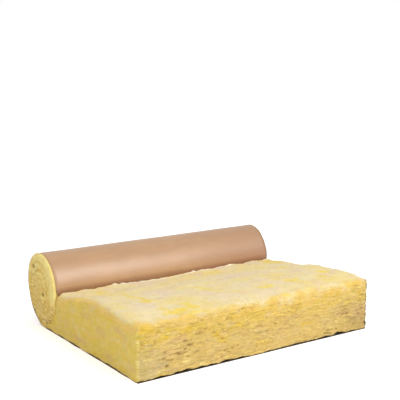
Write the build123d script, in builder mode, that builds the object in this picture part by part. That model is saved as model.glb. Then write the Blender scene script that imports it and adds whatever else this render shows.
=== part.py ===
# Insulation roll: a kraft-faced glass-wool blanket, partly unrolled on the floor.
# Millimetres, +Z up. X runs along the roll, +Y from the cut end to the back of the roll.
# The origin lies on the floor under the middle of the overall box.

import os
from math import asin, atan2, cos, degrees, radians, sin

from build123d import *

# Blanket
blanket_width = 1200.0
laid_length = 817.0        # cut end to the line where the roll lifts off the floor
cut_thickness = 229.0      # wool and facing at the cut end, fully sprung back
crown_thickness = 235.0    # a little behind the cut end
crown_distance = 150.0
middle_thickness = 208.0   # the weight of the roll draws the wool down towards it
middle_distance = 450.0
nip_height = 186.0         # where the laid-out wool meets the front of the roll
edge_round = 22.0          # soft upper edges of the laid-out wool
facing_thickness = 1.0     # kraft paper with its bitumen bond, drawn heavy

# Roll, which its own weight presses out of round
roll_radius = 152.0        # crown of the roll, over the facing
turn_pitch = 38.0          # one pressed turn with its facing
toe_radius = 95.0          # outermost turn, low at the front, where it turns under the roll
end_bulge = 12.0           # each turn swells past the edge of the facing
crease_overrun = 1.0       # the rounding of a turn's edge breaks out above its crest
facing_tuck = 12.0         # how far in the facing is followed between the inner turns
eye_radius = 7.0           # eye of the winding, a slack gap where the first turn closes
eye_flare = 5.0

# Centres of the four arcs that make up a turn, as (y, z)
axis_height = roll_radius + turn_pitch
front_y = -(laid_length + axis_height) / 2
contact_y = front_y + laid_length
nose_y = contact_y + turn_pitch - roll_radius
nose_reach = contact_y - nose_y
nose_radius = (nose_reach**2 + (roll_radius - toe_radius) ** 2 - toe_radius**2) / (
    2 * (nose_reach - toe_radius)
)
back_centre = (contact_y, axis_height)
crown_centre = (contact_y + turn_pitch, axis_height)
nose_centre = (nose_y + nose_radius, axis_height)
toe_centre = (contact_y, turn_pitch + toe_radius)
toe_angle = degrees(
    atan2(nose_centre[1] - toe_centre[1], nose_centre[0] - toe_centre[0])
)

# The turns run inwards until the tightest arc is as small as the rounding of an edge
crease_radius = end_bulge + crease_overrun
crease_reach = facing_thickness / 2 + crease_radius
crease_flat = crease_radius * sin(radians(45))
whole_turns = 1 + int((toe_radius - crease_reach) // turn_pitch)
last_back = axis_height - whole_turns * turn_pitch
last_crown = roll_radius - whole_turns * turn_pitch
tail_y = crown_centre[0] - last_crown
eye_y = contact_y + turn_pitch / 4
eye_z = axis_height - last_back / 2
half_width = blanket_width / 2


def half_turn(number, inset):
    # Up the back of the roll and over its crown
    shrink = number * turn_pitch + inset
    CenterArc(back_centre, axis_height - shrink, 270, 90)
    CenterArc(crown_centre, roll_radius - shrink, 0, 180)


def whole_turn(number, inset):
    # As above, then down the nose and round the toe to the bottom of the roll
    shrink = number * turn_pitch + inset
    half_turn(number, inset)
    CenterArc(nose_centre, nose_radius - shrink, 180, toe_angle)
    CenterArc(toe_centre, toe_radius - shrink, 180 + toe_angle, 90 - toe_angle)


def inner_turns(inset):
    for number in range(1, whole_turns):
        whole_turn(number, inset)
    half_turn(whole_turns, inset)


# Kraft facing: full width along the floor and once round the roll. Between the inner
# turns it is followed from both ends, as deep as it can be seen.
with BuildPart() as kraft_facing:
    with BuildSketch(Plane.YZ) as outer_sheet:
        with BuildLine() as outer_path:
            Line((front_y, 0), (contact_y, 0))
            whole_turn(0, 0)
            Line((contact_y, turn_pitch), (contact_y, turn_pitch + facing_thickness))
            whole_turn(0, facing_thickness)
            Line((contact_y, facing_thickness), (front_y, facing_thickness))
            Line((front_y, facing_thickness), (front_y, 0))
        make_face()
    extrude(amount=half_width, both=True)

    for side in (-1, 1):
        with BuildSketch(Plane.YZ.offset(side * half_width)) as inner_sheet:
            with BuildLine() as inner_path:
                inner_turns(0)
                Line((tail_y, axis_height), (tail_y + facing_thickness, axis_height))
                inner_turns(facing_thickness)
                Line((contact_y, turn_pitch), (contact_y, turn_pitch + facing_thickness))
            make_face()
        extrude(amount=-side * facing_tuck)

kraft_facing.part.label = "kraft_facing"


# Glass wool: the sprung-back end that lies on the floor, and the turns still wound up
nip_angle = degrees(asin((axis_height - nip_height) / nose_radius))
nip_y = nose_centre[0] - nose_radius * cos(radians(nip_angle))

with BuildPart() as wool_blanket:
    with BuildSketch(Plane.YZ) as laid_section:
        with BuildLine() as laid_outline:
            Line((front_y, cut_thickness), (front_y, 0))
            Line((front_y, 0), (contact_y, 0))
            Line((contact_y, 0), (contact_y, turn_pitch))
            CenterArc(toe_centre, toe_radius, 180 + toe_angle, 90 - toe_angle)
            CenterArc(nose_centre, nose_radius, 180 + nip_angle, toe_angle - nip_angle)
            Spline(
                (nip_y, nip_height),
                (front_y + middle_distance, middle_thickness),
                (front_y + crown_distance, crown_thickness),
                (front_y, cut_thickness),
            )
        make_face()
    extrude(amount=half_width, both=True)

    upper_face = wool_blanket.faces().filter_by(GeomType.EXTRUSION)[0]
    nip_edge = upper_face.edges().filter_by(Axis.X).sort_by(Axis.Y)[-1]
    fillet(upper_face.edges() - [nip_edge], radius=edge_round)

    with BuildSketch(Plane.YZ) as wound_section:
        with BuildLine() as wound_outline:
            whole_turn(0, 0)
            Line((contact_y, turn_pitch), (contact_y, 0))
        make_face()
    extrude(amount=half_width, both=True)

    for side in (-1, 1):
        with BuildSketch(Plane.YZ.offset(side * half_width)) as swollen_section:
            with BuildLine() as swollen_outline:
                whole_turn(0, facing_thickness)
                Line((contact_y, turn_pitch + facing_thickness), (contact_y, facing_thickness))
            make_face()
        extrude(amount=side * end_bulge)

    # Every turn is blunt-edged where it swells out, with a crease along the facing.
    # Each flank of the crease is a quarter round, in two flats.
    for side in (-1, 1):
        with BuildLine(Plane.YZ.offset(side * half_width)) as crease_path:
            for number in range(whole_turns):
                whole_turn(number, facing_thickness / 2)
            half_turn(whole_turns, facing_thickness / 2)
        crease_plane = Plane(
            (side * half_width, contact_y, facing_thickness / 2),
            x_dir=(side, 0, 0),
            z_dir=(0, 1, 0),
        )
        with BuildSketch(crease_plane) as crease_section:
            with BuildLine() as crease_outline:
                for flank in (-1, 1):
                    Polyline(
                        (0, flank * facing_thickness / 2),
                        (crease_flat, flank * (crease_reach - crease_flat)),
                        (crease_radius, flank * crease_reach),
                    )
                Line((crease_radius, -crease_reach), (crease_radius, crease_reach))
                Line((0, -facing_thickness / 2), (0, facing_thickness / 2))
            make_face()
        sweep(path=crease_path.wire(), mode=Mode.SUBTRACT)

    add(kraft_facing.part, mode=Mode.SUBTRACT)

    # The eye of the winding, open from end to end and flared at both mouths
    eye_reach = half_width + end_bulge
    eye_plane = Plane((0, eye_y, eye_z), x_dir=(1, 0, 0), z_dir=(0, -1, 0))
    with BuildSketch(eye_plane) as eye_section:
        with BuildLine() as eye_outline:
            Polyline(
                (-eye_reach, 0),
                (-eye_reach, eye_radius + eye_flare),
                (eye_flare - eye_reach, eye_radius),
                (eye_reach - eye_flare, eye_radius),
                (eye_reach, eye_radius + eye_flare),
                (eye_reach, 0),
                close=True,
            )
        make_face()
    revolve(axis=Axis((0, eye_y, eye_z), (1, 0, 0)), mode=Mode.SUBTRACT)

wool_blanket.part.label = "wool_blanket"

os.makedirs("parts", exist_ok=True)
export_step(wool_blanket.part, "parts/wool_blanket.step")
export_step(kraft_facing.part, "parts/kraft_facing.step")
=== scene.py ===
# Insulation roll: a kraft-faced glass-wool blanket, partly unrolled on a pale floor
import math
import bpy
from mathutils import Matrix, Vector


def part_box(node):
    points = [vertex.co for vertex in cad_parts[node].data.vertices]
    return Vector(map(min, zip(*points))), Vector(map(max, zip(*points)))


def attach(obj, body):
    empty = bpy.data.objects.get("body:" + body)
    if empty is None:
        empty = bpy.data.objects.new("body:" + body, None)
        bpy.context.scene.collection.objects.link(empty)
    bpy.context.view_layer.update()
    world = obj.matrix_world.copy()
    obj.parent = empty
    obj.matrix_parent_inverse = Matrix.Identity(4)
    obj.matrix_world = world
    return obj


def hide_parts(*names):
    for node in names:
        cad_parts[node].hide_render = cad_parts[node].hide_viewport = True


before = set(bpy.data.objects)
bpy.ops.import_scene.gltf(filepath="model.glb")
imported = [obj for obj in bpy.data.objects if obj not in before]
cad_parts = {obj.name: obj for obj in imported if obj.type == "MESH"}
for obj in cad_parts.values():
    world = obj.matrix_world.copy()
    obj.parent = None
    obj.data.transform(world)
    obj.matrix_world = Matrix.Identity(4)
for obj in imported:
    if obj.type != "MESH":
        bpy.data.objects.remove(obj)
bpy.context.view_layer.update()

from types import SimpleNamespace

import bmesh
import bpy
import numpy as np
from mathutils import Vector, noise

# Sizes in metres. The blanket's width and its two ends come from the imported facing.
winding = {
    "crownRadius": 0.152,
    "pitch": 0.038,  # one pressed turn with its facing
    "toeRadius": 0.095,
    "wholeTurns": 3,
    "eye": (0.824, 0.160),  # distance from the cut end, height
    "lean": 0.014,  # the right end sits this much further back
    "leanRun": 0.20,  # how far ahead of the roll the laid-out wool starts to follow it
}
paperLow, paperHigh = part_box("kraft_facing")
_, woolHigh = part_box("wool_blanket")
halfWidth = paperHigh.x
endBulge = woolHigh.x - paperHigh.x
frontY = paperLow.y
pitch = winding["pitch"]
axisZ = winding["crownRadius"] + pitch
contactY = paperHigh.y - axisZ  # where the roll lifts off the floor
noseY = contactY + pitch - winding["crownRadius"]
laidLength = noseY - frontY
eyeY, eyeZ = frontY + winding["eye"][0], winding["eye"][1]


def radiusThrough(reach, height, toe):
    # radius of the long arc that runs into a toe arc of this radius without a corner
    return (reach ** 2 + (height - toe) ** 2 - toe ** 2) / (2 * (reach - toe))


noseRadius = radiusThrough(contactY - noseY, winding["crownRadius"], winding["toeRadius"])
backCentre = (contactY, axisZ)
crownCentre = (contactY + pitch, axisZ)
noseCentre = (noseY + noseRadius, axisZ)
toeCentre = (contactY, pitch + winding["toeRadius"])
toeAngle = math.atan2(noseCentre[1] - toeCentre[1], noseCentre[0] - toeCentre[0])
quarters = [
    # centre, radius of the outermost turn, first angle, angle turned
    (backCentre, axisZ, 1.5 * math.pi, 0.5 * math.pi),
    (crownCentre, winding["crownRadius"], 0.0, math.pi),
    (noseCentre, noseRadius, math.pi, toeAngle),
    (toeCentre, winding["toeRadius"], math.pi + toeAngle, 0.5 * math.pi - toeAngle),
]


def followTurn(turn, inset, step, quarterCount=4):
    # y, z, outward direction and distance travelled along one turn, from the floor up
    rows = []
    travelled = 0.0

    def addRow(angle):
        away = (math.cos(angle), math.sin(angle))
        rows.append((centre[0] + r * away[0], centre[1] + r * away[1], *away, travelled))

    for centre, radius, first, turned in quarters[:quarterCount]:
        r = radius - turn * pitch - inset
        count = max(3, round(radius * turned / step))
        for k in range(count):
            addRow(first + turned * k / count)
            travelled += radius * turned / count
    addRow(first + turned)
    return np.array(rows)


def lengthsAlong(path):
    # distance travelled along a line of points
    steps = np.hypot(*np.diff(path[:, :2], axis=0).T)
    return np.concatenate([[0], np.cumsum(steps)])


def insetAt(y, z):
    # how far inside the outermost facing a point of the roll's end lies
    if z >= axisZ:
        centre, radius = crownCentre, winding["crownRadius"]
    elif y > contactY:
        centre, radius = backCentre, axisZ
    elif math.atan2(noseCentre[1] - z, noseCentre[0] - y) < toeAngle:
        centre, radius = noseCentre, noseRadius
    else:
        centre, radius = toeCentre, winding["toeRadius"]
    return radius - math.hypot(y - centre[0], z - centre[1])


def ease(low, high, value):
    # 0 below low, 1 above high and a soft step between them
    t = np.clip((np.asarray(value, dtype=float) - low) / (high - low), 0, 1)
    return t * t * (3 - 2 * t)


def fade(low, high, value):
    # the other way round: 1 below low and 0 above high
    return 1 - ease(low, high, value)


def hump(rise, fall, value):
    # 0, then 1 between a step up and a step down, then 0 again
    return ease(*rise, value) * fade(*fall, value)


def softNoise(points, rates, octaves=2, seed=0.0):
    # soft noise at many points; rates are waves per metre, one for all axes or one for each
    places = np.asarray(points) * rates + (seed, -seed, 0.5 * seed)
    return np.array([noise.fractal(Vector(p), 1.0, 2.0, octaves) for p in places.tolist()])


def field(points, rates, octaves=2, seed=0.0):
    # the same noise brought to mean 0 and spread 1
    values = softNoise(points, rates, octaves, seed)
    return (values - values.mean()) / values.std()


def spots(across, up, table):
    # 0 to 1 over soft oval spots: place across and up, half width, half height (all mm), strength
    level = np.zeros(len(across))
    for *sizes, strength in table:
        atAcross, atUp, wide, high = (size / 1000 for size in sizes)
        oval = np.exp(-((across - atAcross) / wide) ** 2 - ((up - atUp) / high) ** 2)
        level = np.maximum(level, strength * ease(0.25, 0.85, oval))
    return level


def through(table, values):
    # a line through the points of a table in mm
    at, level = np.array(table).T / 1000
    return np.interp(values, at, level)


def gridQuads(index):
    index = np.asarray(index)
    a, b = index[:-1, :-1].ravel(), index[1:, :-1].ravel()
    c, d = index[1:, 1:].ravel(), index[:-1, 1:].ravel()
    return np.stack([a, b, c, d], axis=1).tolist()


def setMarks(mesh, marks):
    # one number or one vector for each point, for the materials to read
    for name, values in marks.items():
        values = np.asarray(values, dtype=np.float32)
        kind, key = ("FLOAT_VECTOR", "vector") if values.ndim == 2 else ("FLOAT", "value")
        mesh.attributes.new(name, kind, "POINT").data.foreach_set(key, values.ravel())


def leanBack(points):
    # the right end of the roll sits a little further back, and the laid-out wool follows it
    points = np.array(points, dtype=float)
    atRight = ease(0.1, 1.0, points[:, 0] / halfWidth)
    follows = (noseY - winding["leanRun"], noseY)
    endsAt = (noseY + 0.02, contactY + 0.08)
    points[:, 1] += winding["lean"] * atRight * hump(follows, endsAt, points[:, 1])
    return points


def putInScene(name, data):
    thing = bpy.data.objects.new(name, data)
    bpy.context.scene.collection.objects.link(thing)
    return thing


def makeMesh(name, points, faces, smooth=True):
    mesh = bpy.data.meshes.new(name)
    mesh.from_pydata(np.asarray(points, dtype=float).tolist(), [], faces)
    mesh.validate()
    if smooth:
        mesh.shade_smooth()
    return putInScene(name, mesh)


def faceOutwards(piece):
    work = bmesh.new()
    work.from_mesh(piece.data)
    bmesh.ops.recalc_face_normals(work, faces=work.faces)
    work.to_mesh(piece.data)
    work.free()


def readPoints(mesh, what="co"):
    values = np.zeros(len(mesh.vertices) * 3, dtype=np.float32)
    mesh.vertices.foreach_get(what, values)
    return values.reshape(-1, 3).astype(float)


# Laid-out wool: the end that has sprung back to its full thickness
laidSettings = {
    "cells": (380, 120, 80),  # across the width, along the blanket, up
    "crowding": ((0, 0.15, 0.88, 1), (0, 0.055, 0.945, 1)),  # cells along it, closer at both ends
    "heights": ((0.0, 0.229), (0.150, 0.235), (0.450, 0.208), (laidLength, 0.186)),
    "floorGap": 0.0010,
    "edgeRound": 0.030, "edgeRoundRight": 0.014, "cornerRound": 0.009,
    "edgeRoundFront": 0.8,  # of the edge round, along the cut end
    "shoulder": 0.030,  # the left edge slumps towards the roll
    "shoulderSpan": (0.24, 0.45, 0.66),  # from the cut end: start, deepest place, end
    "crestRise": 0.003, "tuftRise": 0.0065,
    "crestDrop": 0.011, "crestWidth": 0.016,  # the wool dips into the groove against the roll
    # waves of the skin: how far it moves, waves per metre, step of the seed
    "waves": ((0.0018, 5, 0), (0.0012, 17, 5), (0.0006, 62, 9)),
    "layerDepth": 0.0010, "fineLayerDepth": 0.0009,
    "dashLevel": 2.3,  # higher makes fewer pits
    "pitDepth": 0.005,
    "slitDepth": 0.66,  # of the pits' depth, for a slit of strength 1
    "undercut": 0.0048,  # height of the undercut strip along the floor, painted near-black as contact shadow
    "undercutDepth": 0.009,
    "leanOut": 0.010,  # the right side leans out towards its top
    "rightSwell": 0.006,  # and the wool stands higher there, behind the cut end
    "seed": 11.3,
}
cutHeight = laidSettings["heights"][0][1]
# all tables in mm. Where the pale skin ends: distance from the cut end, distance in from the left edge
skinEdgeLeft = (
    (0, -12), (130, -14), (200, -3), (260, 10), (340, 32), (430, 56), (500, 52), (560, 40), (600, 22),
    (660, -4),
)
# the same for the cut end: distance from the left edge, distance in from the cut end
skinEdgeFront = ((0, 32), (60, 15), (150, 0), (600, -6), (850, -6), (1200, 2))
# how high the undercut strip reaches above the floor along the cut end, from the left edge; that strip is
# painted near-black as contact shadow
undercutHeights = (
    (0, 7), (100, 9), (320, 10.5), (500, 7.5), (750, 8), (860, 6.5), (930, 8), (965, 15), (990, 8.5),
    (1030, 16.5), (1070, 8.5), (1140, 6), (1200, 5),
)
# spots: distance across, distance up or along, half width, half height, strength
cutSlits = (
    (130, 44, 10, 7, 1.9), (120, 78, 14, 6, 1.3), (118, 97, 14, 4.5, 1), (143, 64, 13, 4.5, 1),
    (90, 182, 16, 4.5, 1), (160, 177, 14, 4, 0.7), (80, 148, 12, 5, 1), (150, 132, 18, 4.5, 0.9),
    (210, 130, 10, 4.5, 1), (210, 112, 10, 4.5, 0.9), (250, 106, 10, 4.5, 0.7), (14, 149, 10, 7, 0.9),
    (270, 72, 14, 4.5, 1.1), (230, 84, 12, 4.5, 0.8), (470, 60, 12, 4.5, 1.1), (448, 56, 8, 5, 0.9),
    (410, 53, 14, 4.5, 0.9), (350, 137, 24, 4.5, 0.9), (580, 121, 30, 4.5, 1.1), (620, 93, 13, 6, 1.1),
    (670, 141, 16, 4.5, 0.9), (890, 109, 20, 4.5, 0.8), (970, 33, 20, 5, 1),
    (1070, 124, 20, 4.5, 0.9), (1060, 112, 13, 4.5, 0.8), (1090, 153, 18, 4.5, 0.8),
    (1150, 135, 18, 4.5, 0.9), (1165, 100, 14, 5, 1.1), (1150, 75, 18, 4.5, 1.1),
    (1170, 52, 14, 5.5, 1.2), (1130, 35, 18, 5, 1), (1182, 28, 12, 6.5, 1.2),
    (1186, 120, 10, 6.5, 1.1), (1100, 60, 16, 4.5, 0.8), (1185, 72, 10, 5, 1),
    # this broad, shallow one darkens the lower right of the cut end: painted shade
    (1155, 45, 60, 36, 0.5),
)
cutGold = (
    (30, 208, 70, 16, 0.7), (230, 171, 32, 14, 0.8), (120, 160, 28, 11, 1), (360, 126, 40, 12, 0.9),
    (385, 102, 32, 14, 0.8), (470, 144, 52, 11, 1), (460, 180, 60, 10, 0.5), (840, 86, 40, 9, 0.7),
    (1100, 217, 40, 11, 0.9), (1140, 180, 30, 10, 0.6), (600, 50, 50, 12, 0.6), (100, 12, 60, 9, 0.7),
)
cutTan = (
    (190, 142, 55, 20, 0.9), (290, 148, 30, 12, 0.7), (520, 108, 60, 12, 0.6), (1040, 98, 50, 16, 0.9),
    # the large spot at 1150 across darkens the lower right of the cut end: painted shade
    (1150, 80, 60, 50, 1), (760, 130, 70, 14, 0.6), (160, 95, 50, 16, 0.6), (330, 45, 50, 12, 0.7),
    (700, 85, 50, 12, 0.5),
)
cutPale = (
    (230, 48, 24, 14, 0.8), (230, 74, 17, 5, 0.6), (60, 85, 36, 24, 0.35), (110, 26, 40, 6, 0.9),
    (310, 16, 28, 5, 0.9), (1020, 82, 10, 6, 1), (990, 45, 45, 6, 0.7), (1150, 50, 30, 10, 0.5),
    (800, 40, 40, 5, 0.5),
)
sideGold = (
    (210, 199, 60, 12, 1), (350, 203, 70, 14, 0.6), (460, 195, 90, 14, 0.7), (510, 134, 50, 10, 0.7),
    (400, 72, 50, 11, 0.6), (120, 128, 14, 10, 0.6), (80, 72, 30, 14, 0.5), (310, 21, 70, 10, 0.8),
    (110, 17, 60, 8, 0.8),
)
sideTan = (
    (480, 41, 80, 14, 0.8), (150, 171, 50, 18, 0.7), (220, 42, 34, 14, 0.8), (100, 158, 34, 24, 0.5),
    (290, 125, 60, 28, 0.6), (600, 85, 36, 22, 0.5), (420, 160, 60, 16, 0.5), (50, 50, 30, 30, 0.5),
)
topYellow = (
    (205, 430, 26, 80, 0.9), (210, 350, 24, 80, 0.9), (210, 270, 34, 55, 1.1), (185, 120, 30, 45, 0.8),
    (190, 60, 52, 36, 1.1), (245, 70, 48, 40, 1.1), (300, 90, 30, 60, 1), (260, 10, 34, 34, 0.9),
    (470, 530, 85, 40, 0.6), (510, 290, 44, 100, 0.7), (390, 80, 28, 24, 0.6), (780, 630, 70, 40, 0.5),
    (740, 150, 60, 34, 0.8), (900, 170, 44, 44, 1), (920, 110, 50, 34, 0.6), (1110, 200, 44, 36, 1),
    (1050, 140, 34, 40, 0.8), (740, 12, 28, 22, 1), (660, 12, 26, 22, 0.7), (1150, 620, 70, 100, 0.9),
    (1060, 440, 60, 44, 0.6), (750, 340, 60, 70, 0.4), (170, 520, 40, 70, 0.5), (170, 600, 30, 50, 0.5),
    (1100, 100, 120, 130, 0.35), (930, 280, 120, 110, 0.25),
)
# small tufts that stand up against the roll: distance from the left edge, half width
lipTufts = ((286, 13), (720, 11), (942, 18))


def laidHeight(y):
    # height of the laid-out wool: a smooth curve through four heights
    at = np.asarray(y) - frontY
    total = np.zeros_like(at, dtype=float)
    for i, (xi, hi) in enumerate(laidSettings["heights"]):
        share = np.full_like(at, hi, dtype=float)
        for j, (xj, _) in enumerate(laidSettings["heights"]):
            if i != j:
                share = share * (at - xj) / (xi - xj)
        total += share
    return total


def backWall(count):
    # from the floor up under the toe and the nose of the roll to the nip
    low = laidSettings["floorGap"]
    start = len(followTurn(0, 0.0, 0.002, 2)) - 1
    wall = followTurn(0, 0.0, 0.002)[start:, :2][::-1]
    wall = wall[wall[:, 1] < laidHeight(noseY)]
    wall = np.vstack([[contactY, low], wall])
    lengths = lengthsAlong(wall)
    at = np.linspace(0, lengths[-1], count + 1)
    return np.stack([np.interp(at, lengths, wall[:, 0]), np.interp(at, lengths, wall[:, 1])], 1)


def laidSection(alongCells, upCells):
    # a grid over the section of the laid-out wool: [along][up] -> (y, z)
    low = laidSettings["floorGap"]
    steps = np.linspace(0, 1, alongCells + 1)
    steps = np.interp(steps, *laidSettings["crowding"])
    along = steps[:, None, None]
    up = np.linspace(0, 1, upCells + 1)[None, :, None]
    wall = backWall(upCells)[None, :, :]
    topY = frontY + steps * (wall[0, -1, 0] - frontY)
    top = np.stack([topY, laidHeight(topY)], 1)[:, None, :]
    floorY = frontY + steps * (contactY - frontY)
    floor = np.stack([floorY, np.full_like(floorY, low)], 1)[:, None, :]
    frontZ = low + up[0, :, 0] * (laidHeight(frontY) - low)
    front = np.stack([np.full_like(frontZ, frontY), frontZ], 1)[None, :, :]
    corners = (
        (1 - along) * (1 - up) * floor[0, 0]
        + along * (1 - up) * floor[-1, 0]
        + (1 - along) * up * top[0, 0]
        + along * up * top[-1, 0]
    )
    return (1 - up) * floor + up * top + (1 - along) * front + along * wall - corners


def softenEdge(p, q, radius):
    # p and q are depths behind two faces that meet: their corner becomes a round
    u = np.clip(1 - p / radius, 0, 1)
    v = np.clip(1 - q / radius, 0, 1)
    newP = np.where(p < radius, radius * (1 - u * np.sqrt(1 - v * v / 2)), p)
    newQ = np.where(q < radius, radius * (1 - v * np.sqrt(1 - u * u / 2)), q)
    return newP, newQ


def laidGrid():
    # the grid's outer points, their cell numbers upwards, and the faces
    nx, ny, nz = laidSettings["cells"]
    section = laidSection(ny, nz)
    index = -np.ones((nx + 1, ny + 1, nz + 1), dtype=int)
    i, j, k = np.indices(index.shape)
    shown = (k == nz) | (j == 0) | (i == 0) | (i == nx)
    index[shown] = np.arange(shown.sum())
    i, j, k = i[shown], j[shown], k[shown]
    points = np.stack([halfWidth * (2 * i / nx - 1), section[j, k, 0], section[j, k, 1]], 1)

    faces = gridQuads(index[:, :, nz]) + gridQuads(index[:, 0, :])
    faces += gridQuads(index[0, :, :]) + gridQuads(index[nx, :, :])
    faces += gridQuads(index[[0, nx], ny, :nz])  # the wall hidden by the roll, in long strips
    faces.append([index[0, ny, nz - 1], index[nx, ny, nz - 1], *index[::-1, ny, nz]])
    faces.append([*index[:, 0, 0], *index[nx, 1:, 0], *index[0, ny:0:-1, 0]])
    return points, k, [[int(v) for v in face] for face in faces]


def roundLaidEdges(points, onTop):
    # round the upper edges and the upright corners; the left edge slumps towards the roll
    s = laidSettings
    x, y, z = points.T
    height = np.where(onTop, z, laidHeight(y))
    side, fromFront, below = halfWidth - np.abs(x), y - frontY, height - z
    rough = field(points, (9, 9, 2), 2, s["seed"])
    start, deepest, end = s["shoulderSpan"]
    slump = s["shoulder"] * ease(start, deepest, fromFront) * fade(deepest, end, fromFront)
    sideRound = np.where(x < 0, s["edgeRound"] + slump, s["edgeRoundRight"]) * (1 + 0.12 * rough)
    frontRound = s["edgeRound"] * s["edgeRoundFront"] * (1 + 0.15 * rough)
    side, below = softenEdge(side, below, sideRound)
    fromFront, below = softenEdge(fromFront, below, frontRound)
    side, fromFront = softenEdge(side, fromFront, np.full_like(side, s["cornerRound"]))
    return np.stack([np.sign(x) * (halfWidth - side), frontY + fromFront, height - below], 1)


def laidPlaces(points, normals, k):
    # each point's place and share of each face, and the noise that shapes and colours share
    x, y, z = points.T
    seed = laidSettings["seed"]
    onTop = k == laidSettings["cells"][2]
    side = normals[:, 0] ** 2
    toNip = noseY - y
    return SimpleNamespace(
        x=x, z=z, fromLeft=x + halfWidth, alongIn=y - frontY, toNip=toNip, onTop=onTop, side=side,
        top=np.maximum(0, normals[:, 2]) ** 2,
        cut=np.maximum(0, -normals[:, 1]) ** 2,
        low=1 - np.clip(z / (cutHeight - laidSettings["floorGap"]), 0, 1),
        onFloor=k == 0,
        hidden=(toNip < 0.004) & (side < 0.5) & ~onTop,
        layered=field(points, (17, 17, 95), 3, seed + 14),
        clusters=field(points, (5, 5, 9), 2, seed + 25),
        crest=field(points, (17, 0, 0), 4, seed + 30),
        tuft=sum(np.exp(-((x + halfWidth - at) / wide) ** 2) for at, wide in np.array(lipTufts) / 1000),
        strayAcross=0.007 * field(points, 26, 2, seed + 70),
        strayAlong=0.007 * field(points, 26, 2, seed + 71),
        strayUp=0.004 * field(points, (50, 50, 90), 2, seed + 72),
    )


def laidRelief(points, at):
    # how far each point moves out; pits and the undercut strip along the floor, which is also painted dark
    # as contact shadow
    s = laidSettings
    seed = s["seed"]
    push = sum(depth * field(points, rate, 2, seed + step) for depth, rate, step in s["waves"])
    push += at.layered * s["layerDepth"] * (at.cut + 0.5 * at.side)
    fineLayers = field(points, (52, 52, 170), 2, seed + 17)
    push += s["fineLayerDepth"] * fineLayers * (at.cut + 0.3 * at.side)
    dashes = field(points, (30, 30, 140), 2, seed + 21)
    threshold = s["dashLevel"] - 0.4 * at.low - 0.65 * at.clusters
    pit = ease(0, 1.0, dashes - threshold) * (at.cut + 0.3 * at.side)
    slits = spots(at.fromLeft + 0.5 * at.strayAcross, at.z + 0.5 * at.strayUp, cutSlits)
    pit = np.maximum(pit, s["slitDepth"] * slits * at.cut)
    push = np.where(at.hidden, 0, push - s["pitDepth"] * pit)

    ragged = field(points, (24, 24, 0), 3, seed + 40)
    undercut = s["undercut"] + 0.0010 * ragged
    darkEdge = through(undercutHeights, at.fromLeft) * (1 + 0.16 * ragged)
    undercut += (darkEdge - undercut) * ease(0.2, 0.6, at.cut)
    under = ease(0, 0.0045, undercut - at.z) * (1 - at.top)
    return push - s["undercutDepth"] * under, pit, under


def laidMoved(points, normals, push, at):
    # relief, crest against the roll, lean and swell at the right
    s = laidSettings
    moved = points + normals * push[:, None]
    rise = (s["crestRise"] + 0.0004 * at.crest) * fade(0.012, 0.040, at.toNip) * at.top
    rise += s["tuftRise"] * at.tuft * fade(0.010, 0.026, at.toNip)
    drop = s["crestDrop"] * (1 + 0.05 * at.crest) * fade(0.0, s["crestWidth"], at.toNip)
    atRight = ease(0.30, 0.56, at.x)
    swell = hump((0.10, 0.35), (0.62, laidLength), at.alongIn)
    moved[:, 0] += s["leanOut"] * atRight * (at.z / cutHeight - 0.35)
    moved[:, 2] += s["rightSwell"] * atRight * swell * at.z / cutHeight
    moved[:, 2] += np.where(at.onTop, rise - drop, 0)
    moved[:, 2] = np.maximum(moved[:, 2], s["floorGap"])
    moved[at.onFloor, 2] = s["floorGap"]
    return moved


def laidSkin(points, at):
    # the pale skin, which ends a little inside the edges, and the warm band below it
    seed = laidSettings["seed"]
    depthBelow = np.maximum(0, laidHeight(points[:, 1]) - at.z)
    blotch = field(points, 16, 3, seed + 50)
    left = at.fromLeft - depthBelow - through(skinEdgeLeft, at.alongIn) + 0.005 * blotch
    front = at.alongIn - depthBelow - through(skinEdgeFront, at.fromLeft) + 0.013 * blotch
    right = (halfWidth - at.x) - depthBelow + 0.008
    pale = ease(-0.016, 0.018, left) * ease(-0.030, 0.034, front) * ease(-0.010, 0.010, right)
    warm = ease(-0.058, -0.018, front) * ease(-0.05, -0.02, left)
    warm = np.maximum(warm, 0.40 * ease(-0.035, 0.0, left))
    return pale, warm * (1 - pale)


def laidShine(points, at):
    # painted highlights on the frayed fibres of the near corner and of the lip against the roll, and pale
    # patches
    seed = laidSettings["seed"]
    corner = np.hypot(at.fromLeft, at.alongIn)
    shine = fade(0.002, 0.012, corner) * (0.34 + 0.32 * field(points, (0, 0, 170), 3, seed + 60))
    lip = fade(0.017, 0.030, at.toNip) * at.onTop * np.maximum(0.85 * ease(-0.9, 0.9, at.crest), at.tuft)
    patches = spots(at.fromLeft + at.strayAcross, at.z + at.strayUp, cutPale)
    return np.maximum(np.clip(shine + lip, 0, 1), patches * at.cut * (0.6 + 0.2 * at.layered))


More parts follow.
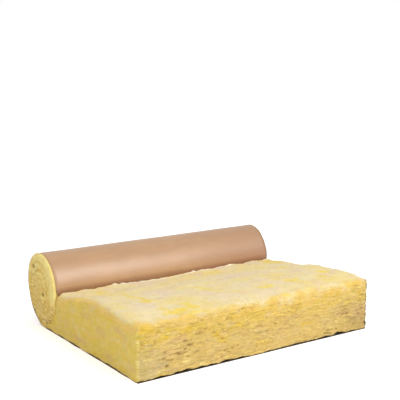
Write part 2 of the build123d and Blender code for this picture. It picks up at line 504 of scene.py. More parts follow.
def laidMarks(points, at, pit, under):
    # what the material reads at each point
    onCut = (at.fromLeft + at.strayAcross, at.z + at.strayUp)
    onSide = (at.alongIn + at.strayAlong, at.z + at.strayUp)
    onTop = (at.fromLeft + at.strayAcross, at.alongIn + at.strayAlong)
    leftSide = at.side * (at.x < 0)
    gold = np.maximum(spots(*onCut, cutGold) * at.cut, spots(*onSide, sideGold) * leftSide)
    gold = np.maximum(gold, spots(*onTop, topYellow) * at.top)
    tan = np.maximum(spots(*onCut, cutTan) * at.cut, spots(*onSide, sideTan) * leftSide)
    # the right edge of the cut end is painted dark as shade
    rim = ease(-0.0150, -0.0085, at.x - halfWidth) * ease(0.12, 0.30, at.cut)
    rim *= ease(-1.6, 0.2, field(points, (0, 0, 60), 3, laidSettings["seed"] + 65))
    pale, warm = laidSkin(points, at)
    cut = at.cut * (0.8 + 0.25 * at.clusters + 0.2 * at.low) + 0.25 * at.side
    return {
        "pale": pale, "warm": warm, "pit": pit, "gold": gold, "tan": tan,
        "shine": laidShine(points, at),
        "cut": np.clip(cut, 0, 1),
        # near-black painted shadow in the undercut and painted shade on the right edge
        "stain": np.maximum(under, 0.85 * rim),
        "deep": at.cut * ease(0.15, 0.6, at.low),
        # a brighter tone on the side faces: painted light
        "side": at.side * (1 - pale),
    }


def laidWool():
    points, k, faces = laidGrid()
    points = roundLaidEdges(points, k == laidSettings["cells"][2])
    piece = makeMesh("laidWool", points, faces)
    faceOutwards(piece)
    normals = readPoints(piece.data, "normal")
    at = laidPlaces(points, normals, k)
    push, pit, under = laidRelief(points, at)
    moved = laidMoved(points, normals, push, at)
    piece.data.vertices.foreach_set("co", leanBack(moved).astype(np.float32).ravel())
    setMarks(piece.data, {"grain": moved, **laidMarks(points, at, pit, under)})
    piece.data.update()
    print("laid-out wool:", len(points), "points")
    return piece


# Wound wool: the turns that are still pressed, seen at both ends of the roll
woundSettings = {
    "around": 0.0024, "rings": 56,  # cell size round the rim, rings from the eye to the rim
    "webPoints": 14,  # down the web of wool that joins the roll to the laid-out end
    "floorGap": 0.0012,
    "rimRound": 0.014, "rimGap": 0.0012, "rimSink": 0.0018, "hiddenGap": 0.007,
    "lap": 0.0024, "lapRise": 0.0035,  # the puffed turn laps over the paper's edge
    "overLaid": 0.009, "overLaidSink": 0.005,  # how far the rim runs over the laid-out wool's side
    "rightBulge": 0.3,  # of the left end's, because the right end is tidier
    "puffWidth": 0.030, "puffWider": 0.034,  # smooth and pale outer turn, painted brighter as a highlight, wider at the nose
    "faceSink": 0.0018,  # how far the pressed turns stay behind that puff
    "lumps": 0.0028, "tufts": 0.0020,
    "eyeReach": (0.010, 0.0055),  # the eye is a slack gap, wider than it is high
    "eyeDepths": (0.05, 0.03, 0.02),
    "eyeSink": 0.0020,
    "dentDepth": 0.004, "tuftHeight": 0.003, "creaseDepth": 0.0034, "creaseWidth": 0.0040,
    "rimDarkening": 0.50,  # darker along the rim where the paper's edge shows
    "seed": 47.0,
}
# dents of both ends, painted dark as shade, in mm: distance from the cut end, height, half width, half
# height, strength
endDents = (
    (925, 272, 21, 8.5, 1.9), (890, 258, 11, 5, 0.7), (938, 228, 13, 6.5, 1), (915, 206, 10, 5, 0.6),
    (790, 110, 14, 6, 0.6), (768, 52, 14, 6.5, 1.2), (752, 70, 9, 4.5, 0.8), (736, 80, 9, 4.5, 0.7),
    (838, 36, 15, 5, 0.8), (860, 200, 10, 5, 0.5), (880, 120, 12, 5, 0.6), (800, 238, 10, 5, 0.6),
)
# tufts between them, painted bright as highlights, in the same way
endTufts = (
    (897, 262, 17, 6.5, 1), (866, 250, 14, 6, 1), (885, 277, 10, 5, 0.9), (925, 250, 12, 6, 0.9),
    (930, 205, 9, 5, 0.8), (800, 166, 8, 7, 0.8), (812, 214, 14, 8, 0.7), (760, 86, 8, 4.5, 0.7),
    (757, 60, 9, 4, 0.7), (741, 66, 7, 3.5, 0.6), (895, 58, 14, 6, 0.4), (775, 190, 10, 6, 0.5),
)


def rimPlaces():
    # loops round the rim and inside the roll, and how the end varies round them
    s = woundSettings
    webZ = np.linspace(pitch + 0.0015, 0.003, s["webPoints"] + 2)[1:-1]
    loop = np.vstack([followTurn(0, s["rimGap"], s["around"])[:, :2], [(contactY, z) for z in webZ]])
    hidden = np.vstack([followTurn(0, s["hiddenGap"], s["around"])[:, :2],
                        [(contactY, 0.008 + 0.8 * z) for z in webZ]])
    eye = np.array([eyeY, eyeZ])
    reach = np.hypot(*(loop - eye).T)
    toEye = (loop - eye) / reach[:, None]
    eyeRadius = 1 / np.hypot(*(toEye / s["eyeReach"]).T)
    spin = np.arctan2(loop[:, 1] - eyeZ, loop[:, 0] - eyeY)
    turned = np.degrees(spin) % 360  # 0 at the back, 90 at the crown, 180 at the nose
    return SimpleNamespace(
        loop=loop, hidden=hidden, count=len(loop), eye=eye, toEye=toEye, eyeRadius=eyeRadius,
        span=reach - eyeRadius, spin=spin,
        puffWidth=s["puffWidth"] + s["puffWider"] * np.maximum(0, np.cos(spin - math.radians(150))) ** 1.5,
        puffed=hump((30, 70), (178, 208), turned),
        besideLaid=hump((185, 205), (280, 300), turned),
        lap={-1: hump((40, 70), (285, 310), turned), 1: hump((62, 82), (108, 130), turned)},
        # the wool bulges less towards the back and the floor, where the paper's edge shows
        swell=1 - 0.8 * ease(0.1, 0.9, np.cos(spin - math.radians(-35))),
        bare=1 - hump((32, 58), (275, 300), turned),
    )


def creaseAt(yz, puff):
    # 1 in the crease between two turns, 0 on the turns
    turn = np.array([insetAt(y, z) for y, z in yz]) / pitch
    near = np.abs(turn - np.round(turn)) * pitch
    inner = (turn > 0.5) & (turn < winding["wholeTurns"] + 0.5)
    return np.where(inner, np.exp(-(near / woundSettings["creaseWidth"]) ** 2), 0) * (1 - puff)


def endRing(sign, fraction, rim):
    # one ring of a swollen end, from the eye at fraction 0 to the rim at fraction 1
    s = woundSettings
    bulge = endBulge if sign < 0 else s["rightBulge"] * endBulge
    last = max(0, fraction - 0.9) * 10
    fromEye, toRim = fraction * rim.span, (1 - fraction) * rim.span
    over = (s["lap"] * rim.lap[sign] + s["overLaid"] * rim.besideLaid) * last  # past the paper's edge
    yz = rim.eye + rim.toEye * (rim.eyeRadius + fromEye + over)[:, None]
    at = np.column_stack([np.full(rim.count, sign * 0.3), yz])
    lumps = softNoise(at, (1, 22, 34), 2, s["seed"])
    tufts = softNoise(at, (1, 52, 90), 3, s["seed"] + 4)
    puff = fade(0.30, 1.20, toRim / rim.puffWidth) * rim.puffed
    crease = creaseAt(yz, puff)
    dents = spots(yz[:, 0] - frontY, yz[:, 1], endDents)
    tuftSpots = spots(yz[:, 0] - frontY, yz[:, 1], endTufts)

    # how far it stands out past the paper's edge
    edge = np.clip(toRim / s["rimRound"], 0, 1)
    rounded = np.sqrt(np.clip(1 - (1 - edge) ** 2, 0, 1))
    raised = 1 - (1 - rim.swell) * ease(0.10, 0.75, fraction)
    clear = ease(0, 0.012, fromEye)  # smooth and sunk round the eye
    out = bulge * rounded * raised - s["rimSink"] + s["lapRise"] * rim.lap[sign]
    out -= s["overLaidSink"] * rim.besideLaid * last
    sunk = s["faceSink"] * (1 - puff) * rounded + s["creaseDepth"] * crease
    out -= sunk * raised * bulge / endBulge
    uneven = s["lumps"] * lumps + s["tufts"] * tufts
    out += uneven * (1 - 0.8 * puff) * ease(0, 0.01, toRim) * clear
    out -= s["eyeSink"] * (1 - clear)
    out += s["tuftHeight"] * tuftSpots - s["dentDepth"] * dents
    web = np.where((yz[:, 0] < contactY + 0.06) & (yz[:, 1] < pitch),
                   ease(contactY - 0.002, contactY + 0.06, yz[:, 0]), 1.0)

    # what the material reads: painted shade in hollows, creases and dents, painted highlights on tufts, on
    # the puffed turn and over the upper part
    pit = np.maximum(ease(0.30, 0.66, -tufts) * (1 - puff) * 0.55, 0.32 * crease * ease(-0.4, 0.3, lumps))
    shine = ease(0.30, 0.62, tufts) * (1 - puff) * 0.8 + (0.74 + 0.35 * lumps) * puff
    shine = np.maximum(shine, 0.42 * ease(0.15, 0.26, yz[:, 1]) * (1 - crease) * (1 + 0.9 * lumps))
    # darker along the rim where the paper's edge shows; round the eye it is near-black painted shade
    stain = s["rimDarkening"] * rim.bare * fade(0.003, 0.010, toRim * np.abs(np.cos(rim.spin)))
    return yz, sign * (halfWidth + out * web), {
        "pit": np.maximum(pit, dents),
        "shine": np.maximum(shine, tuftSpots),
        # the warm colour brightens the end face, most on the puffed turn: painted light
        "warm": 0.5 + 0.35 * puff,
        "stain": np.maximum(stain, 0.9 * fade(0.0005, 0.0040, fromEye)),
    }


def woundEnd(sign, rim):
    # the rings of one end: out of the eye, over the face and round the rim into the roll
    def plainRing(yz, depth, **marks):
        return yz, sign * (halfWidth - depth + np.zeros(rim.count)), marks

    eyeRing = rim.eye + rim.toEye * rim.eyeRadius[:, None]
    # the eye's walls are painted dark: painted shade inside the hole
    rings = [plainRing(eyeRing, depth, pit=1.0, stain=0.7) for depth in woundSettings["eyeDepths"]]
    for fraction in np.linspace(0, 1, woundSettings["rings"] + 1):
        rings.append(endRing(sign, fraction, rim))
    rings.append(plainRing(rim.loop, 0.002 - 0.003 * rim.lap[sign]))
    rings.append(plainRing(rim.loop, 0.014))
    rings.append(plainRing(rim.hidden, 0.030))
    return rings


def woundWool():
    rim = rimPlaces()
    rings = woundEnd(-1, rim) + woundEnd(1, rim)[::-1]
    low = woundSettings["floorGap"]
    points = leanBack(np.vstack([np.column_stack([x, yz[:, 0], np.maximum(yz[:, 1], low)])
                                 for yz, x, _ in rings]))
    index = np.pad(np.arange(len(points)).reshape(len(rings), rim.count), (0, 1), "wrap")
    piece = makeMesh("woundWool", points, gridQuads(index))
    faceOutwards(piece)
    setMarks(piece.data, {
        "cut": np.full(len(points), 0.35), "grain": points * (1, 2.6, 0.55) + (0, 3, 1),
        **{name: np.concatenate([marks.get(name, 0.0) + np.zeros(rim.count) for _, _, marks in rings])
           for name in ("pit", "shine", "warm", "stain")},
    })
    print("wound wool:", len(points), "points")
    return piece


# Kraft facing: one sheet, along the floor, once round the roll and on between its turns
paperSettings = {
    "thickness": 0.0006,
    "bond": 0.0016,  # black bitumen that bonds the paper to the wool
    "bondInset": 0.0015,
    "floorStep": 0.020,
    "roundStep": 0.006,
    "columns": 72,
    "ripple": 0.0009,
    "rippleRates": (4, 8),  # waves per metre across and along
    "edgeWave": 0.0012,  # of its width
    "ribbon": (0.0030, 0.0060, 0.0100),  # columns between the inner turns, in from each end
    "drawnIn": 0.012,  # at the sides, where the roll presses on the laid-out wool
    "seed": 5.0,
}


def layeredSheet(rows, lengths, xs, depths, waviness, narrowing=None):
    # a closed sheet between two depths below the line of rows
    s = paperSettings
    shares = np.ones(len(rows)) if narrowing is None else 1 - narrowing / halfWidth
    edgeLine = np.column_stack([lengths * 0, lengths, lengths * 0])
    edgeWave = field(edgeLine, (0, 12, 0), 3, s["seed"] + 7)
    acrossRate, alongRate = s["rippleRates"]
    points, grain, layers = [], [], []
    for depth in depths:
        layer = np.zeros((len(rows), len(xs)), dtype=int)
        for r, ((y, z, awayY, awayZ, _), at, wave) in enumerate(zip(rows, lengths, edgeWave)):
            lift = float(ease(0.0, 0.06, z))
            for c, x in enumerate(xs * shares[r]):
                ripple = noise.fractal(Vector((acrossRate * x, alongRate * at, s["seed"])), 1.0, 2.0, 2)
                out = s["ripple"] * lift * waviness * (ripple - 0.3)
                layer[r, c] = len(points)
                points.append((x * (1 + s["edgeWave"] * waviness * wave), y + (out - depth) * awayY,
                               max(0.0, z + (out - depth) * awayZ)))
                grain.append((x, at, 0.0))
        layers.append(layer)
    outer, inner = layers
    faces = gridQuads(outer) + gridQuads(inner[::-1])
    for a, b in ((outer[0], inner[0]), (inner[-1], outer[-1]),
                 (inner[:, 0], outer[:, 0]), (outer[:, -1], inner[:, -1])):
        faces += gridQuads(np.stack([a, b]))
    return points, faces, grain


def joinSheets(name, sheets):
    points, faces, grain = [], [], []
    for sheetPoints, sheetFaces, sheetGrain in sheets:
        start = len(points)
        points += sheetPoints
        grain += sheetGrain
        faces += [[v + start for v in face] for face in sheetFaces]
    piece = makeMesh(name, leanBack(points), faces)
    faceOutwards(piece)
    setMarks(piece.data, {"grain": np.array(grain)})
    print(name + ":", len(points), "points")
    return piece


def innerTurns():
    # the line of the facing between the turns, from the nip to where it ends inside
    rows = []
    for turn in range(1, winding["wholeTurns"]):
        rows.append(followTurn(turn, 0.0, paperSettings["roundStep"])[:-1])
    rows.append(followTurn(winding["wholeTurns"], 0.0, paperSettings["roundStep"], 2))
    return np.vstack(rows)


def facingSheets():
    s = paperSettings
    onFloor = np.arange(frontY + 0.0005, contactY, s["floorStep"])
    floorRows = np.array([(y, 0.0, 0.0, -1.0, 0.0) for y in onFloor])
    path = np.vstack([floorRows, followTurn(0, 0.0, s["roundStep"])])
    along = lengthsAlong(path)
    inner = innerTurns()
    further = along[-1] + lengthsAlong(inner)
    wide = np.linspace(-1, 1, s["columns"] + 1) * halfWidth
    low, high = s["thickness"], s["thickness"] + s["bond"]
    # the facing draws in from the sides where the roll presses on the laid-out wool
    laidTop = float(laidHeight(noseY))
    pressed = (path[:, 4] > 0.5) & (path[:, 1] < laidTop + 0.02)
    drawnIn = np.where(pressed, s["drawnIn"] * fade(laidTop - 0.02, laidTop + 0.02, path[:, 1]), 0.0)
    paper = [layeredSheet(path, along, wide, (0.0, low), 1.0, drawnIn)]
    for sign in (-1, 1):
        ribbon = sign * (halfWidth - np.array(s["ribbon"]))
        paper.append(layeredSheet(inner, further, ribbon, (0.0, low), 0.0))
    narrower = wide * (1 - s["bondInset"] / halfWidth)
    bond = [layeredSheet(path, along, narrower, (low, high), 1.0, drawnIn)]
    atNip = float(along[pressed & (path[:, 1] > laidTop - 0.01)].min())
    return joinSheets("kraftPaper", paper), joinSheets("bitumenBond", bond), atNip


# Stray fibres: fine closed slivers that lie on the wool and lift off it a little
fibreShape = {"rings": 4, "sides": 3, "sink": 0.0006, "floorGap": 0.0004}


def scatterOn(host, where, count, rng):
    # random places on a piece, each with the way out of it
    mesh = host.data
    mesh.calc_loop_triangles()
    points = readPoints(mesh)
    corners = np.zeros(len(mesh.loop_triangles) * 3, dtype=np.int32)
    mesh.loop_triangles.foreach_get("vertices", corners)
    a, b, c = (points[corners.reshape(-1, 3)[:, n]] for n in range(3))
    cross = np.cross(b - a, c - a)
    area = np.linalg.norm(cross, axis=1) / 2
    normal = cross / np.maximum(2 * area, 1e-12)[:, None]
    weight = area * where((a + b + c) / 3, normal)
    chosen = rng.choice(len(area), count, p=weight / weight.sum())
    u, v = rng.random((2, count))
    over = u + v > 1
    u[over], v[over] = 1 - u[over], 1 - v[over]
    root = a[chosen] + u[:, None] * (b - a)[chosen] + v[:, None] * (c - a)[chosen]
    return root, normal[chosen]


def fibreFaces(count, rings, sides):
    index = np.arange(rings * sides).reshape(rings, sides)
    skin = gridQuads(np.pad(index, ((0, 0), (0, 1)), "wrap"))
    caps = [index[0], index[-1, ::-1]]
    starts = (np.arange(count) * rings * sides)[:, None, None]
    faces = (np.array(skin)[None] + starts).reshape(-1, 4).tolist()
    return faces + (np.array(caps)[None] + starts).reshape(-1, 3).tolist()


def strayFibres(name, host, settings):
    rng = np.random.default_rng(settings["seed"])
    count, rings, sides = settings["count"], fibreShape["rings"], fibreShape["sides"]
    root, up = scatterOn(host, settings["where"], count, rng)
    drift = rng.normal(size=(count, 3)) * settings["spread"]
    along = drift - (drift * up).sum(1)[:, None] * up
    along /= np.linalg.norm(along, axis=1)[:, None]
    across = np.cross(up, along)
    length = settings["length"] * (0.4 + 1.2 * rng.random(count))
    lift = settings["lift"] * rng.random(count) ** 1.5
    curl = rng.normal(size=count) * 0.5
    shape = np.zeros((count, rings * sides, 3))
    for r, t in enumerate(np.linspace(0, 1, rings)):
        middle = (
            root
            + along * (length * (t - 0.25))[:, None]
            + across * (curl * length * (t - 0.25) ** 2)[:, None]
            + up * (lift * t * t - fibreShape["sink"])[:, None]
        )
        thick = settings["thickness"] * (0.25 + math.sin(math.pi * (0.1 + 0.8 * t)))
        for n in range(sides):
            angle = 2 * math.pi * n / sides
            shape[:, r * sides + n] = middle + thick * (math.cos(angle) * up + math.sin(angle) * across)
    vertices = shape.reshape(-1, 3)
    vertices[:, 2] = np.maximum(vertices[:, 2], fibreShape["floorGap"])
    piece = makeMesh(name, vertices, fibreFaces(count, rings, sides))
    print(name + ":", count, "fibres")
    return piece


fibreSettings = {
    "topFibres": {
        "count": 6000, "length": 0.022, "lift": 0.004, "thickness": 0.00020, "seed": 3,
        "spread": (1.0, 1.0, 0.4),
        "where": lambda p, n: (n[:, 2] > 0.5) & (p[:, 2] > 0.15) & (p[:, 1] < noseY - 0.006),
    },
    "cutFibres": {
        "count": 6000, "length": 0.018, "lift": 0.003, "thickness": 0.00022, "seed": 4,
        "spread": (1.0, 1.0, 0.15),
        "where": lambda p, n: (np.abs(n[:, 2]) < 0.6) & (p[:, 2] > 0.012)
        & ((p[:, 1] < frontY + 0.03) | (np.abs(p[:, 0]) > halfWidth - 0.03)),
    },
    "endFibres": {
        "count": 3000, "length": 0.012, "lift": 0.003, "thickness": 0.00020, "seed": 6,
        "spread": (0.3, 1.0, 1.0),
        "where": lambda p, n: (np.abs(n[:, 0]) > 0.4) & (np.abs(p[:, 0]) > halfWidth),
    },
}


# Materials
def nodeMaterial(name):
    material = bpy.data.materials.new(name)
    material.use_nodes = True
    tree = material.node_tree
    return material, tree, tree.nodes["Principled BSDF"]


def isSocket(value):
    return isinstance(value, bpy.types.NodeSocket)


def fill(tree, node, inputs):
    # sockets are linked, and constant values go on the node's own sockets
    for key, value in inputs.items():
        if isSocket(value):
            tree.links.new(value, node.inputs[key])
        else:
            node.inputs[key].default_value = value


def addNode(tree, kind, inputs=None, **values):
    node = tree.nodes.new(kind)
    for key, value in values.items():
        setattr(node, key, value)
    fill(tree, node, inputs or {})
    return node


def ramp(tree, factor, stops):
    node = addNode(tree, "ShaderNodeValToRGB", {"Fac": factor})
    elements = node.color_ramp.elements
    for place, _ in stops[2:]:
        elements.new(place)
    for element, (place, colour) in zip(elements, sorted(stops)):
        element.position = place
        element.color = (*colour, 1)
    return node.outputs["Color"]


def blend(tree, factor, first, second, mode="MIX"):
    node = addNode(tree, "ShaderNodeMix", data_type="RGBA", blend_type=mode)
    first, second = (colour if isSocket(colour) else (*colour, 1) for colour in (first, second))
    fill(tree, node, {0: factor, 6: first, 7: second})
    return node.outputs[2]


def clouds(tree, vector, rates, detail=3.0, roughness=0.5, distortion=0.0, shift=(0, 0, 0)):
    # noise over the grain; rates are waves per metre across, along and through the blanket
    mapping = addNode(tree, "ShaderNodeMapping", {"Vector": vector, "Scale": rates, "Location": shift})
    return addNode(tree, "ShaderNodeTexNoise", {
        "Vector": mapping.outputs[0], "Scale": 1.0, "Detail": detail,
        "Roughness": roughness, "Distortion": distortion}).outputs["Fac"]


def spread(tree, value, low, high, toLow=0.0, toHigh=1.0):
    return addNode(tree, "ShaderNodeMapRange", {
        "Value": value, "From Min": low, "From Max": high, "To Min": toLow, "To Max": toHigh}).outputs[0]


def maths(tree, operation, a, b):
    return addNode(tree, "ShaderNodeMath", {0: a, 1: b}, operation=operation).outputs[0]


def times(tree, a, b):
    return maths(tree, "MULTIPLY", a, b)


def mark(tree, name, output="Fac"):
    return addNode(tree, "ShaderNodeAttribute", attribute_name=name).outputs[output]


def finishShader(tree, shader, colour, surface, bump=None):
    fill(tree, shader, {"Base Color": colour, **surface})
    if bump:
        fill(tree, shader, {"Normal": addNode(tree, "ShaderNodeBump", bump).outputs[0]})


def forShaders(colours):
    # colours as read off a screen, 0 to 255
    def linear(v):
        v /= 255
        return v / 12.92 if v <= 0.04045 else ((v + 0.055) / 1.055) ** 2.4
    return {name: tuple(linear(v) for v in colour) for name, colour in colours.items()}


# brown also paints shade in pits and dark dashes, glow and lip paint highlights, bitumen paints the
# near-black of shadows
woolColours = forShaders({
    "skin": (241, 222, 170), "skinYellow": (244, 214, 88), "skinPink": (236, 212, 180),
    "gold": (224, 190, 74), "straw": (226, 200, 136), "moss": (206, 186, 70),
    "rust": (228, 182, 94), "warm": (237, 199, 106), "deep": (208, 184, 132),
    "wash": (228, 190, 62), "tan": (214, 176, 118), "side": (236, 206, 96),
    "brown": (132, 94, 42), "glow": (253, 236, 152), "lip": (255, 246, 218),
    "bitumen": (30, 26, 24),
})
woolSurface = {
    "Roughness": 0.95, "Specular IOR Level": 0.2, "Sheen Weight": 0.2, "Sheen Roughness": 0.5,
}
# patches: colour, waves per metre, detail, roughness, distortion, shift, noise from and to, most
insidePatches = (
    ("moss", (16, 16, 34), 5, 0.65, 0.4, (13, 4, 2), 0.50, 0.62, 0.80),
    ("rust", (15, 15, 32), 5, 0.65, 0.4, (3, 1, 7), 0.52, 0.64, 0.80),
)
skinPatches = (
    ("skinPink", (7, 9, 9), 3, 0.5, 0.5, (25, 9, 3), 0.46, 0.64, 0.85),
    ("skinYellow", (6, 8, 8), 5, 0.62, 0.3, (5, 9, 1), 0.48, 0.66, 0.45),
    ("skinYellow", (15, 26, 20), 4, 0.6, 0.4, (2, 7, 1), 0.57, 0.70, 0.50),
)
# marks that colour the inside, and how far; side is a brighter tone that paints light onto the side faces
insideMarks = (("deep", 0.6), ("side", 0.5), ("warm", 1.0), ("tan", 0.7))


def patchy(tree, grain, colour, patches):
    for over, rates, detail, roughness, distortion, shift, low, high, most in patches:
        cloud = clouds(tree, grain, rates, detail, roughness, distortion, shift)
        colour = blend(tree, spread(tree, cloud, low, high, 0, most), colour, woolColours[over])
    return colour


def woolInside(tree, grain):
    # golden, with patches of straw, moss and rust
    c = woolColours
    cloud = clouds(tree, grain, (13, 13, 30), 4, 0.6, 0.6)
    colour = ramp(tree, cloud, [(0.40, c["straw"]), (0.52, c["gold"]), (0.64, c["gold"])])
    colour = patchy(tree, grain, colour, insidePatches)
    for name, most in insideMarks:
        colour = blend(tree, times(tree, mark(tree, name), most), colour, c[name])
    return colour


def woolShade(tree, grain, cut):
    # painted light and shade: brightness follows the layers, and painted shade darkens the cut end low
    # down at the right
    layers = clouds(tree, grain, (28, 28, 130), 4, 0.65, 0.4, (1, 2, 3))
    shade = spread(tree, layers, 0.3, 0.7, -0.24, 0.12)
    place = addNode(tree, "ShaderNodeSeparateXYZ", {0: grain})
    paintedShadeRight = spread(tree, place.outputs[0], 0.30, halfWidth, 0, -0.17)
    paintedShadeLow = spread(tree, place.outputs[2], 0.17, 0.04, 0.2, 1)
    shade = maths(tree, "ADD", shade, times(tree, paintedShadeRight, paintedShadeLow))
    shade = maths(tree, "ADD", times(tree, shade, cut), 1.0)
    return addNode(tree, "ShaderNodeCombineXYZ", {0: shade, 1: shade, 2: shade}).outputs[0]


def woolDashes(tree, grain, cut):
    # dark and bright dashes on the cut faces: painted shade between the layers, painted highlights on the
    # fibres
    dark = clouds(tree, grain, (30, 30, 170), 3, 0.6, 0.0, (8, 8, 8))
    clustered = clouds(tree, grain, (7, 7, 14), 3, 0.6, 0.0, (2, 3, 8))
    dark = times(tree, spread(tree, dark, 0.44, 0.30, 0, 0.75), spread(tree, clustered, 0.42, 0.62))
    bright = clouds(tree, grain, (40, 40, 200), 2, 0.5, 0.0, (4, 1, 6))
    return times(tree, dark, cut), times(tree, spread(tree, bright, 0.62, 0.72, 0, 0.8), cut)


def woolBump(tree, grain):
    fine = clouds(tree, grain, (170, 170, 620), 4, 0.7, 0.5)
    coarse = clouds(tree, grain, (45, 45, 190), 4, 0.6, 0.4, (1, 5, 3))
    relief = maths(tree, "ADD", times(tree, fine, 0.45), coarse)
    return {"Height": relief, "Strength": 0.5, "Distance": 0.003}


def glassWool():
    # cream skin over a golden inside
    c = woolColours
    material, tree, shader = nodeMaterial("glassWool")
    grain = mark(tree, "grain", "Vector")
    cut = mark(tree, "cut")
    pale = mark(tree, "pale")
    skin = patchy(tree, grain, c["skin"], skinPatches)
    colour = blend(tree, pale, woolInside(tree, grain), skin)
    wash = blend(tree, pale, c["wash"], c["skinYellow"])
    colour = blend(tree, times(tree, mark(tree, "gold"), 0.85), colour, wash)
    # painted light and shade of the layers
    colour = blend(tree, 1.0, colour, woolShade(tree, grain, cut), "MULTIPLY")
    dark, bright = woolDashes(tree, grain, cut)
    # painted shade in the dark dashes
    colour = blend(tree, dark, colour, c["brown"])
    # painted highlights from the shine mark and the bright dashes: yellow on the cut faces, cream on the
    # skin
    glow = blend(tree, pale, c["glow"], c["lip"])
    bright = maths(tree, "MAXIMUM", bright, mark(tree, "shine"))
    colour = blend(tree, bright, colour, glow)
    # painted shade in pits, slits, dents and the creases between turns
    colour = blend(tree, times(tree, mark(tree, "pit"), 0.55), colour, c["brown"])
    # near-black: painted shadow in the undercut and the eye, painted shade on the right edge, and the
    # darker rim of the ends
    colour = blend(tree, mark(tree, "stain"), colour, c["bitumen"])
    finishShader(tree, shader, colour, woolSurface, woolBump(tree, grain))
    return material


def fibreMaterial():
    c = woolColours
    material, tree, shader = nodeMaterial("strayFibre")
    place = addNode(tree, "ShaderNodeTexCoord").outputs["Object"]
    tone = clouds(tree, place, (40, 40, 40), 3, 0.6)
    colour = ramp(tree, tone, [(0.35, c["gold"]), (0.5, c["skin"]), (0.65, c["glow"])])
    finishShader(tree, shader, colour, {"Roughness": 0.6})
    return material


# woolBounce paints warm light bounced from the wool, nipShadow paints contact shadow
kraftColours = forShaders({
    "dull": (176, 127, 72), "plain": (190, 141, 86), "pulp": (166, 116, 70),
    "darkEdge": (110, 80, 58), "brown": (150, 100, 58), "woolBounce": (158, 92, 46),
    "nipShadow": (140, 84, 40),
})
kraftSurface = {
    "Roughness": 0.48, "IOR": 1.7, "Specular IOR Level": 1.0, "Sheen Weight": 0.3, "Sheen Roughness": 0.3,
}


def kraftMaterial(toNip):
    # toNip is the distance along the paper from the cut end to where it meets the laid-out wool
    c = kraftColours
    material, tree, shader = nodeMaterial("kraftPaper")
    grain = mark(tree, "grain", "Vector")
    place = addNode(tree, "ShaderNodeSeparateXYZ", {0: grain})
    across, along = place.outputs[0], place.outputs[1]
    mottle = clouds(tree, grain, (7, 16, 1), 4, 0.6, 0.2)
    pulp = clouds(tree, grain, (140, 420, 1), 3, 0.7, 0.2, (3, 3, 0))
    toEdge = maths(tree, "SUBTRACT", halfWidth, across)
    # where warm light bounced from the wool is painted: low on the paper towards the nip, from the middle
    # to the right
    woolBounceShare = times(tree, spread(tree, along, toNip - 0.090, toNip - 0.020, 0, 0.40),
                    spread(tree, across, 0.10, halfWidth))
    colour = ramp(tree, mottle, [(0.3, c["dull"]), (0.7, c["plain"])])
    for over, share in (
        ("pulp", spread(tree, pulp, 0.4, 0.7, 0, 0.2)),
        # darker within a few mm of the right edge
        ("darkEdge", spread(tree, toEdge, 0.001, 0.007, 0.75, 0)),
        ("brown", spread(tree, across, 0.10, halfWidth, 0, 0.46)),
        # painted warm bounce from the wool
        ("woolBounce", woolBounceShare),
        # painted contact shadow on the paper just above the nip
        ("nipShadow", spread(tree, along, toNip - 0.012, toNip + 0.004, 0, 0.7)),
    ):
        colour = blend(tree, share, colour, c[over])
    finishShader(tree, shader, colour, kraftSurface, {"Height": pulp, "Strength": 0.08, "Distance": 0.001})
    return material


bondColours = forShaders({"black": (24, 20, 16), "brown": (52, 42, 32)})


def bondMaterial():
    material, tree, shader = nodeMaterial("bitumen")
    place = addNode(tree, "ShaderNodeTexCoord").outputs["Object"]
    tone = clouds(tree, place, (60, 60, 60), 3, 0.6)
    colour = ramp(tree, tone, [(0.3, bondColours["black"]), (0.7, bondColours["brown"])])
    finishShader(tree, shader, colour, {"Roughness": 0.6})
    return material


# Studio: pale floor, white surroundings, one large soft lamp and a fill
studio = {
    "floorSize": 14.0,
    "floorDrop": 0.0003,
    "floorSurface": {"Roughness": 1.0, "Specular IOR Level": 0.0, "Emission Color": (1, 1, 1, 1)},
    "floorGlow": (0.7, 3.0, 0.45, 0.65),  # from and to this distance, from and to this strength
    "lamps": {  # place, size, power
        "keyLamp": ((1.2, -3.3, 3.3), 2.4, 104.0),
        "fillLamp": ((-2.6, -1.2, 1.6), 2.2, 14.0),
    },
    "aim": (0, 0, 0.15),
    "surroundings": 0.62,
}


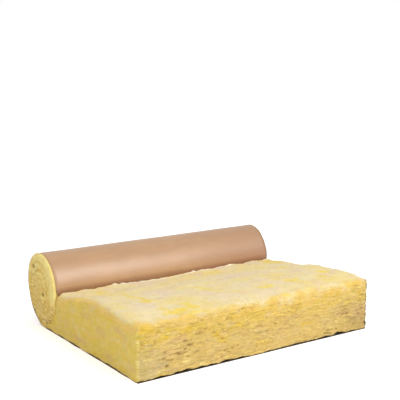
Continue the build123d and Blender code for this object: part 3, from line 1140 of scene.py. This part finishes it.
def layFloor():
    half = studio["floorSize"] / 2
    floor = makeMesh("floor", [(-half, -half, 0), (half, -half, 0), (half, half, 0), (-half, half, 0)],
                     [[0, 1, 2, 3]], smooth=False)
    floor.location.z = -studio["floorDrop"]
    material, tree, shader = nodeMaterial("paleFloor")
    finishShader(tree, shader, (0.93, 0.93, 0.93, 1), studio["floorSurface"])
    # the camera sees the floor as white as the surroundings, but for the shadow near the roll
    place = addNode(tree, "ShaderNodeTexCoord").outputs["Object"]
    far = addNode(tree, "ShaderNodeVectorMath", {0: place}, operation="LENGTH").outputs["Value"]
    glow = spread(tree, far, *studio["floorGlow"])
    path = tree.nodes.new("ShaderNodeLightPath")
    tree.links.new(times(tree, path.outputs["Is Camera Ray"], glow), shader.inputs["Emission Strength"])
    floor.data.materials.append(material)


def surround():
    world = bpy.data.worlds.new("whiteRoom")
    bpy.context.scene.world = world
    world.use_nodes = True
    tree = world.node_tree
    background = tree.nodes["Background"]
    background.inputs["Color"].default_value = (1, 1, 1, 1)
    path = tree.nodes.new("ShaderNodeLightPath")
    direct = maths(tree, "MAXIMUM", path.outputs["Is Camera Ray"], path.outputs["Is Glossy Ray"])
    strength = spread(tree, direct, 0, 1, studio["surroundings"], 1.0)
    tree.links.new(strength, background.inputs["Strength"])


def hangLamps():
    for name, (place, size, power) in studio["lamps"].items():
        data = bpy.data.lights.new(name, "AREA")
        data.energy = power
        data.size = size
        lamp = putInScene(name, data)
        lamp.location = place
        aim = Vector(studio["aim"]) - lamp.location
        lamp.rotation_euler = aim.to_track_quat("-Z", "Y").to_euler()


cameraSettings = {
    "lens": 77.3,
    "fromCorner": (-1.552, -2.672, 1.207),  # from the near left corner on the floor
    "lookDown": 9.3,
    "lookAcross": 34.5,
}


def placeCamera():
    data = bpy.data.cameras.new("photoCamera")
    data.lens = cameraSettings["lens"]
    camera = putInScene("photoCamera", data)
    camera.location = Vector((-halfWidth, frontY, 0)) + Vector(cameraSettings["fromCorner"])
    camera.rotation_euler = (
        math.radians(90 - cameraSettings["lookDown"]), 0, -math.radians(cameraSettings["lookAcross"]))
    bpy.context.scene.camera = camera


def dress(piece, node, material):
    piece.data.materials.append(material)
    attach(piece, "root")
    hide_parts(node)


bpy.context.scene.view_settings.view_transform = "Standard"
placeCamera()
layFloor()
surround()
hangLamps()
print("studio laid out")

wool = glassWool()
fibre = fibreMaterial()
laid = laidWool()
wound = woundWool()
paper, bond, atNip = facingSheets()
dress(laid, "wool_blanket", wool)
dress(wound, "wool_blanket", wool)
dress(paper, "kraft_facing", kraftMaterial(atNip))
dress(bond, "kraft_facing", bondMaterial())
for name, settings in fibreSettings.items():
    host = wound if name == "endFibres" else laid
    dress(strayFibres(name, host, settings), "wool_blanket", fibre)
